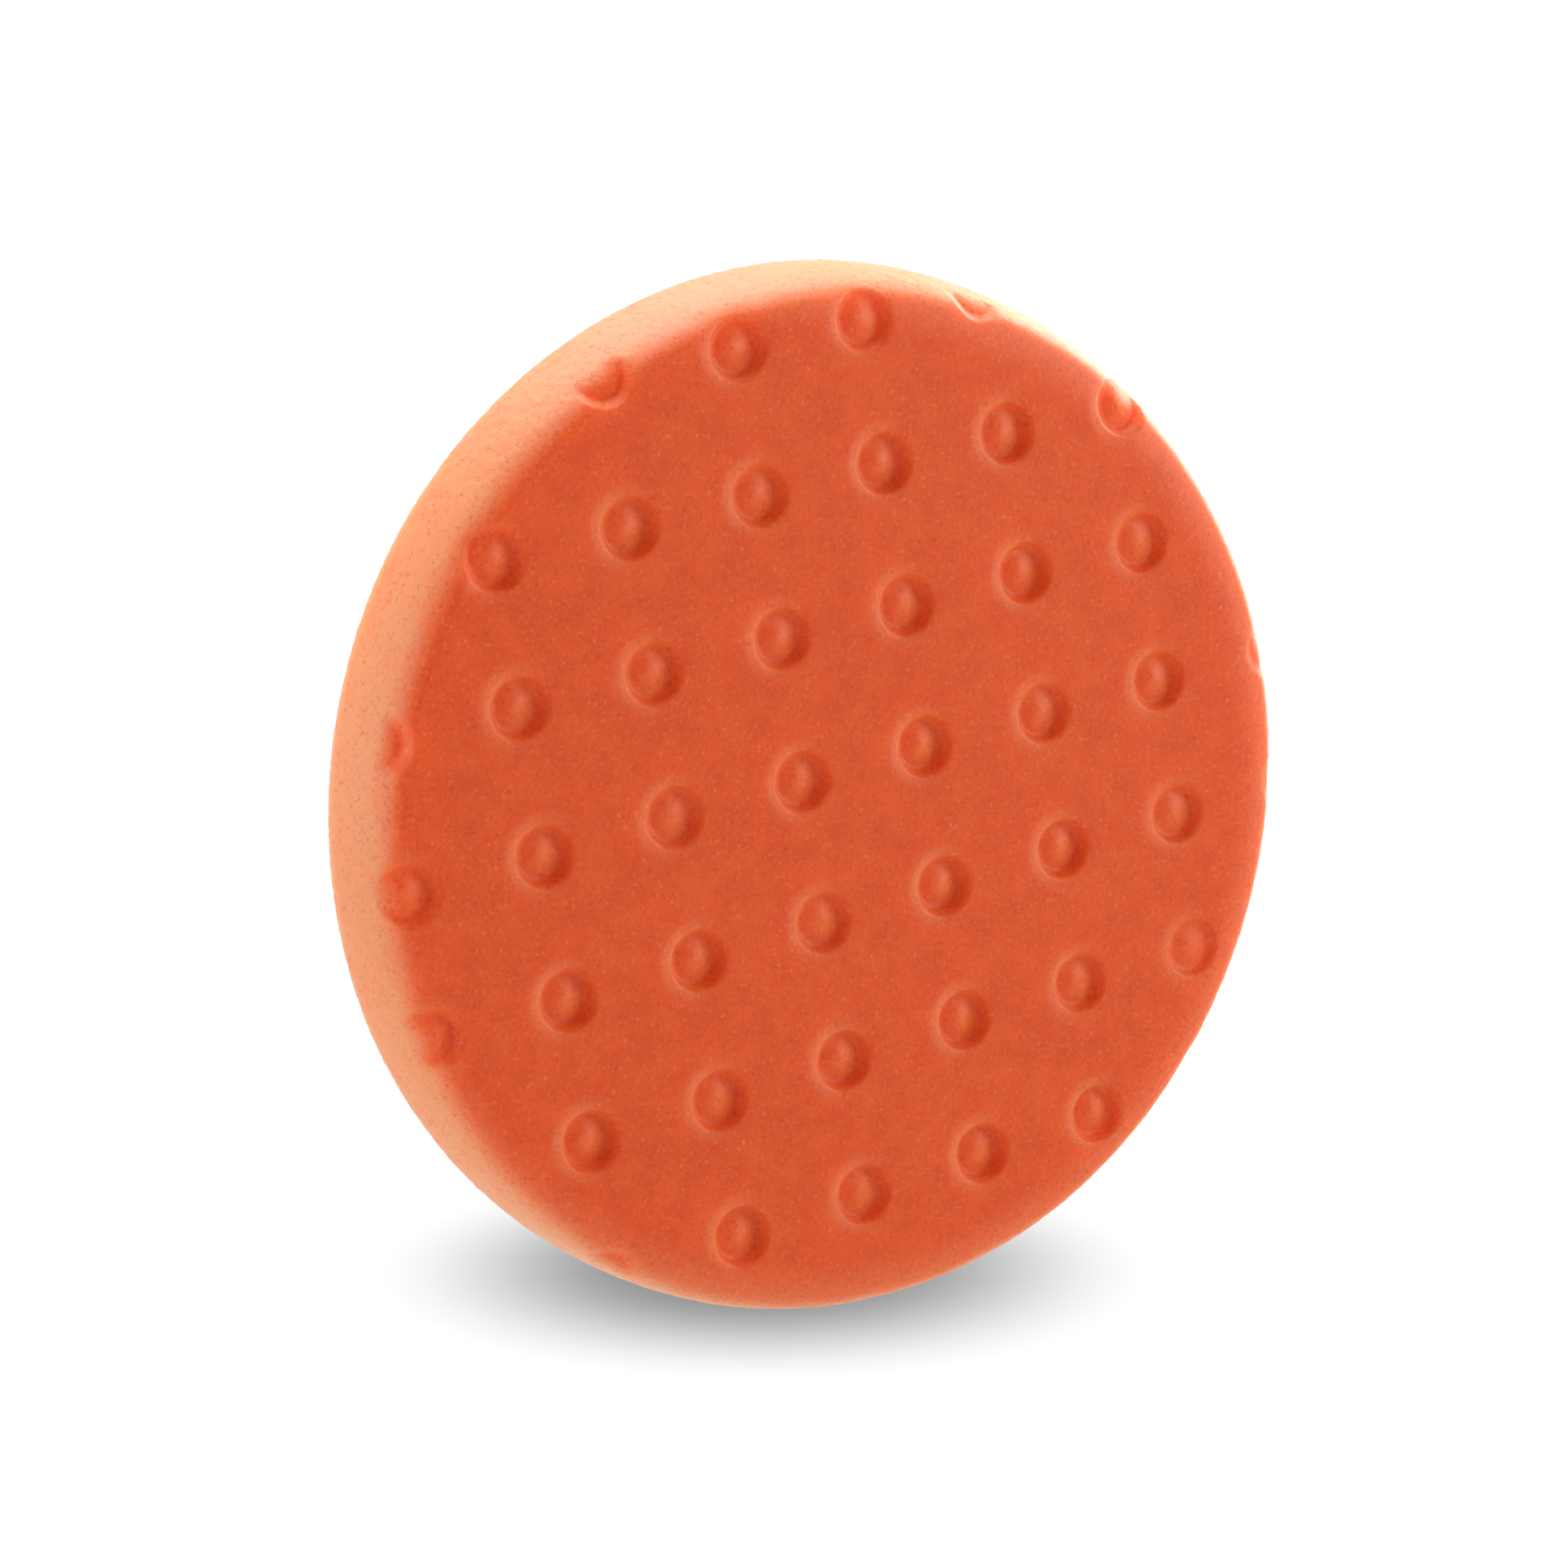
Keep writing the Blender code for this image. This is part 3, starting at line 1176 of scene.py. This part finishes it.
@dataclass
class LoopPile:
    """The brushed loops: arches of yarn knitted in courses, each leaning its own way."""

    spacing: float = 1.05 * MM
    jitter: float = 0.3
    edge_gap: float = 0.6 * MM
    yarn_radius: float = 0.075 * MM
    thickness_share: tuple[float, float] = (0.8, 1.2)
    foot_width: float = 0.95 * MM
    width_share: tuple[float, float] = (0.75, 1.25)
    horseshoe: float = 0.33
    height_share: tuple[float, float] = (0.70, 1.0)
    lean: float = 0.45 * MM
    heading_spread: float = 0.7
    path_points: int = 7
    sides: int = 4
    groups: int = 3
    seed: int = 11
    finish: BrushedNylon = field(default_factory=BrushedNylon)

    def feet(self) -> np.ndarray:
        """Place the loops on a staggered knit grid inside the cloth's edge.

        Returns:
            Flat points of shape (n, 2), jittered.
        """
        _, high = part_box(Layer.PILE.node)
        radius = high.x - self.edge_gap
        count = int(radius / self.spacing) + 1
        line = np.arange(-count, count + 1)
        column, row = np.meshgrid(line, line)
        x = (column + 0.5 * (row % 2)) * self.spacing
        y = row * self.spacing
        flat = np.stack([x.ravel(), y.ravel()], axis=1)
        random = np.random.default_rng(self.seed)
        flat = flat + random.uniform(-self.jitter, self.jitter, flat.shape) * self.spacing
        return flat[np.hypot(flat[:, 0], flat[:, 1]) < radius]

    def loops(self, flat: np.ndarray, seed: int) -> tuple[np.ndarray, np.ndarray]:
        """Sweep a square yarn section along each loop's arch.

        Along the arch, t from 0 to 1, the yarn goes -cos(pi t) times half the foot width,
        widened by up to a third at mid height like a horseshoe, and rises by the root of
        sin(pi t). The lean grows with sin(pi t).

        Args:
            flat: The loops' places.
            seed: Seed for this group's heights, headings and leans.

        Returns:
            Points of shape (n, path_points, sides, 3) in the disc's own frame, and each
            loop's shade.
        """
        _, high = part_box(Layer.PILE.node)
        _, cloth_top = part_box(Layer.CLOTH.node)
        random = np.random.default_rng(seed)
        n = len(flat)
        t = np.linspace(0.0, 1.0, self.path_points)
        arch = np.sin(math.pi * t)
        heading = random.normal(0.0, self.heading_spread, n)
        width = self.foot_width * random.uniform(*self.width_share, n)
        tall = (high.y - cloth_top.y - self.yarn_radius) * random.uniform(*self.height_share, n)
        lean = random.normal(0.0, self.lean, n)
        spread = -0.5 * np.cos(math.pi * t) * (1.0 + self.horseshoe * arch)
        across = spread[None] * width[:, None]
        along = np.stack([np.cos(heading), np.sin(heading)], axis=1)
        side = np.stack([-along[:, 1], along[:, 0]], axis=1)
        centre = np.empty((n, self.path_points, 3))
        centre[..., :2] = (
            flat[:, None]
            + across[..., None] * along[:, None]
            + (arch * lean[:, None])[..., None] * side[:, None]
        )
        centre[..., 2] = cloth_top.y - self.yarn_radius + (
            (tall + self.yarn_radius)[:, None] * np.sqrt(np.abs(arch))
        )
        tangent = np.gradient(centre, axis=1)
        tangent /= np.linalg.norm(tangent, axis=2, keepdims=True)
        binormal = np.concatenate([side, np.zeros((n, 1))], axis=1)[:, None]
        normal = np.cross(binormal, tangent)
        normal /= np.linalg.norm(normal, axis=2, keepdims=True)
        binormal = np.cross(tangent, normal)
        angle = 2.0 * math.pi * np.arange(self.sides) / self.sides
        thick = self.yarn_radius * random.uniform(*self.thickness_share, (n, 1, 1, 1))
        section = (
            np.cos(angle)[:, None] * normal[:, :, None]
            + np.sin(angle)[:, None] * binormal[:, :, None]
        )
        return centre[:, :, None] + thick * section, random.uniform(0.0, 1.0, n)

    def faces(self, loops: int) -> list[np.ndarray]:
        """Quads round each yarn, and a cap at each end.

        Args:
            loops: Number of loops.

        Returns:
            The tube quads and the caps.
        """
        number = np.arange(loops * self.path_points * self.sides)
        number = number.reshape(loops, self.path_points, self.sides)
        ahead = np.roll(number, -1, axis=2)
        walls = np.stack(
            [number[:, :-1], ahead[:, :-1], ahead[:, 1:], number[:, 1:]], axis=-1
        )
        return [walls.reshape(-1, 4), number[:, 0, ::-1], number[:, -1]]

    def build(self) -> list[bpy.types.Object]:
        """Make the loops in a few groups, so that each stays a light mesh.

        Returns:
            The groups' objects.
        """
        flat = self.feet()
        material = self.finish.build()
        pieces = []
        for index in range(self.groups):
            points, shade = self.loops(flat[index :: self.groups], self.seed + 1 + index)
            world = Facing.LOOP.to_world(points.reshape(-1, 3))
            name = f"loop_yarn_{index + 1}"
            piece = mesh_object(name, world, self.faces(len(points)))
            point_attribute(piece, "shade", np.repeat(shade, self.path_points * self.sides))
            piece.data.materials.append(material)
            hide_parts(Layer.PILE.node)
            pieces.append(piece)
        return pieces


# ---------------------------------------------------------------------------------------
# The studio
# ---------------------------------------------------------------------------------------


@dataclass(frozen=True)
class SoftBox:
    """A square area light aimed at the pad.

    Azimuth and elevation say where it stands, as they do for the camera.
    """

    name: str
    azimuth: float
    elevation: float
    distance: float
    size: float
    watts: float


@dataclass
class Studio:
    """A glowing white table and surround, soft boxes, and the camera.

    The lens and the sensor's width are in millimetres. The aim is an x and a z on the
    plane of the work face.
    """

    azimuth: float = -30.45
    elevation: float = 9.2
    distance: float = 0.537
    aim: tuple[float, float] = (-10.95 * MM, 2.79 * MM)
    lens: float = 95.43
    sensor_width: float = 36.0
    clip: tuple[float, float] = (0.01, 100.0)
    white: float = 1.02
    surround: float = 0.27
    floor_size: float = 12.0
    floor_lines: int = 9
    floor_glow: float = 0.90
    shade_centre: tuple[float, float] = (1.0 * MM, 4.0 * MM)
    shade_core: float = 14.0 * MM
    shade_reach: float = 57.0 * MM
    shade_depth: float = 0.28
    lights: tuple[SoftBox, ...] = (
        SoftBox("top_light", 170.0, 70.0, 0.9, 0.8, 12.8),
        SoftBox("left_light", -103.0, 2.0, 0.9, 0.7, 6.8),
        SoftBox("right_light", 110.0, 20.0, 0.9, 0.6, 9.2),
        SoftBox("front_light", 58.0, 16.0, 1.1, 0.45, 5.6),
    )

    @staticmethod
    def direction(azimuth: float, elevation: float) -> Vector:
        """Unit vector from the pad towards a place at this azimuth and elevation."""
        a, e = math.radians(azimuth), math.radians(elevation)
        return Vector(
            (math.sin(a) * math.cos(e), -math.cos(a) * math.cos(e), math.sin(e))
        )

    @staticmethod
    def seen_or_lit(
        tree: bpy.types.NodeTree, seen: float | bpy.types.NodeSocket, lit: float
    ) -> bpy.types.NodeSocket:
        """Give one strength to a ray from the camera, and another to any other ray.

        Args:
            tree: The node tree.
            seen: What the camera sees, as a number or a socket.
            lit: What the surface gives as a light.

        Returns:
            The strength's socket.
        """
        path = add_node(tree, "ShaderNodeLightPath")
        return add_node(
            tree,
            "ShaderNodeMapRange",
            inputs={"Value": path.outputs["Is Camera Ray"], "To Min": lit, "To Max": seen},
        ).outputs["Result"]

    def table_material(self, height: float) -> bpy.types.Material:
        """Make the light table's surface.

        It glows evenly, white to the camera and dimmer as a light, which hides where it
        ends, and it takes no colour from the pad. A soft round shade, a smooth step of
        the distance from its middle, is all that the camera sees of the pad's shadow.

        Args:
            height: The table's height.

        Returns:
            The material.
        """
        material, tree = blank_material("opal_glass_light_table")
        place = add_node(tree, "ShaderNodeTexCoord").outputs["Object"]
        distance = add_node(
            tree,
            "ShaderNodeVectorMath",
            {"operation": "DISTANCE"},
            {0: place, 1: (*self.shade_centre, height)},
        )
        shaded = add_node(
            tree,
            "ShaderNodeMapRange",
            {"interpolation_type": "SMOOTHSTEP"},
            {
                "Value": distance.outputs["Value"],
                "From Min": self.shade_core,
                "From Max": self.shade_reach,
                "To Min": self.shade_depth * self.white,
                "To Max": self.white,
            },
        )
        strength = self.seen_or_lit(tree, shaded.outputs["Result"], self.floor_glow)
        glow = add_node(tree, "ShaderNodeEmission", inputs={"Strength": strength})
        add_node(
            tree, "ShaderNodeOutputMaterial", inputs={"Surface": glow.outputs["Emission"]}
        )
        return material

    def build_floor(self) -> None:
        """Lay the light table under the pad, far larger than the view."""
        low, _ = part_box(Layer.FOAM.node)
        half = 0.5 * self.floor_size
        line = np.linspace(-half, half, self.floor_lines)
        x, y = np.meshgrid(line, line, indexing="ij")
        points = np.stack([x.ravel(), y.ravel(), np.full(x.size, low.z)], axis=1)
        number = np.arange(x.size).reshape(x.shape)
        quads = np.stack(
            [number[:-1, :-1], number[1:, :-1], number[1:, 1:], number[:-1, 1:]], axis=-1
        )
        mesh = bpy.data.meshes.new("floor")
        mesh.from_pydata(points.tolist(), [], quads.reshape(-1, 4).tolist())
        floor = bpy.data.objects.new("floor", mesh)
        bpy.context.scene.collection.objects.link(floor)
        mesh.materials.append(self.table_material(low.z))

    def build_surround(self) -> None:
        """Wrap the scene in white: plain to the camera, dimmer as a light."""
        world = bpy.data.worlds.new("white_surround")
        bpy.context.scene.world = world
        world.use_nodes = True
        tree = world.node_tree
        tree.nodes.clear()
        strength = self.seen_or_lit(tree, self.white, self.surround)
        glow = add_node(
            tree,
            "ShaderNodeBackground",
            inputs={"Color": (1.0, 1.0, 1.0, 1.0), "Strength": strength},
        )
        add_node(
            tree, "ShaderNodeOutputWorld", inputs={"Surface": glow.outputs["Background"]}
        )

    def build_lights(self) -> None:
        """Stand the soft boxes round the pad."""
        for box in self.lights:
            lamp = bpy.data.lights.new(box.name, "AREA")
            lamp.shape = "SQUARE"
            lamp.size = box.size
            lamp.energy = box.watts
            light = bpy.data.objects.new(box.name, lamp)
            bpy.context.scene.collection.objects.link(light)
            back = self.direction(box.azimuth, box.elevation)
            light.location = back * box.distance
            light.rotation_mode = "QUATERNION"
            light.rotation_quaternion = back.to_track_quat("Z", "Y")

    def build_camera(self) -> None:
        """Place the camera in front of the work face, to its left and a little above."""
        low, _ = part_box(Layer.FOAM.node)
        lens = bpy.data.cameras.new("camera")
        lens.lens = self.lens
        lens.sensor_width = self.sensor_width
        lens.clip_start, lens.clip_end = self.clip
        camera = bpy.data.objects.new("camera", lens)
        bpy.context.scene.collection.objects.link(camera)
        back = self.direction(self.azimuth, self.elevation)
        target = Vector((self.aim[0], low.y, self.aim[1]))
        camera.location = target + back * self.distance
        camera.rotation_mode = "QUATERNION"
        camera.rotation_quaternion = back.to_track_quat("Z", "Y")
        bpy.context.scene.camera = camera

    def build(self) -> None:
        """Build the floor, the surround, the lights and the camera."""
        bpy.context.scene.view_settings.view_transform = "Standard"
        self.build_floor()
        self.build_surround()
        self.build_lights()
        self.build_camera()


def report(piece: bpy.types.Object) -> None:
    """Log a piece's name and its number of faces."""
    log.info("%s: %d faces", piece.name, len(piece.data.polygons))


def main() -> None:
    """Build the pad layer by layer, then the studio."""
    logging.basicConfig(level=logging.INFO, format="%(name)s %(message)s")
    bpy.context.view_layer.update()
    report(FoamDisc().build())
    film = BackLayer(Layer.FILM, "glue_film", HotMeltFilm()).build()
    report(film)
    cloth = BackLayer(Layer.CLOTH, "loop_ground_cloth", KnittedNylon(), seed=5).build()
    report(cloth)
    yarns = LoopPile().build()
    for yarn in yarns:
        report(yarn)
    Studio().build()


if __name__ == "__main__":
    main()
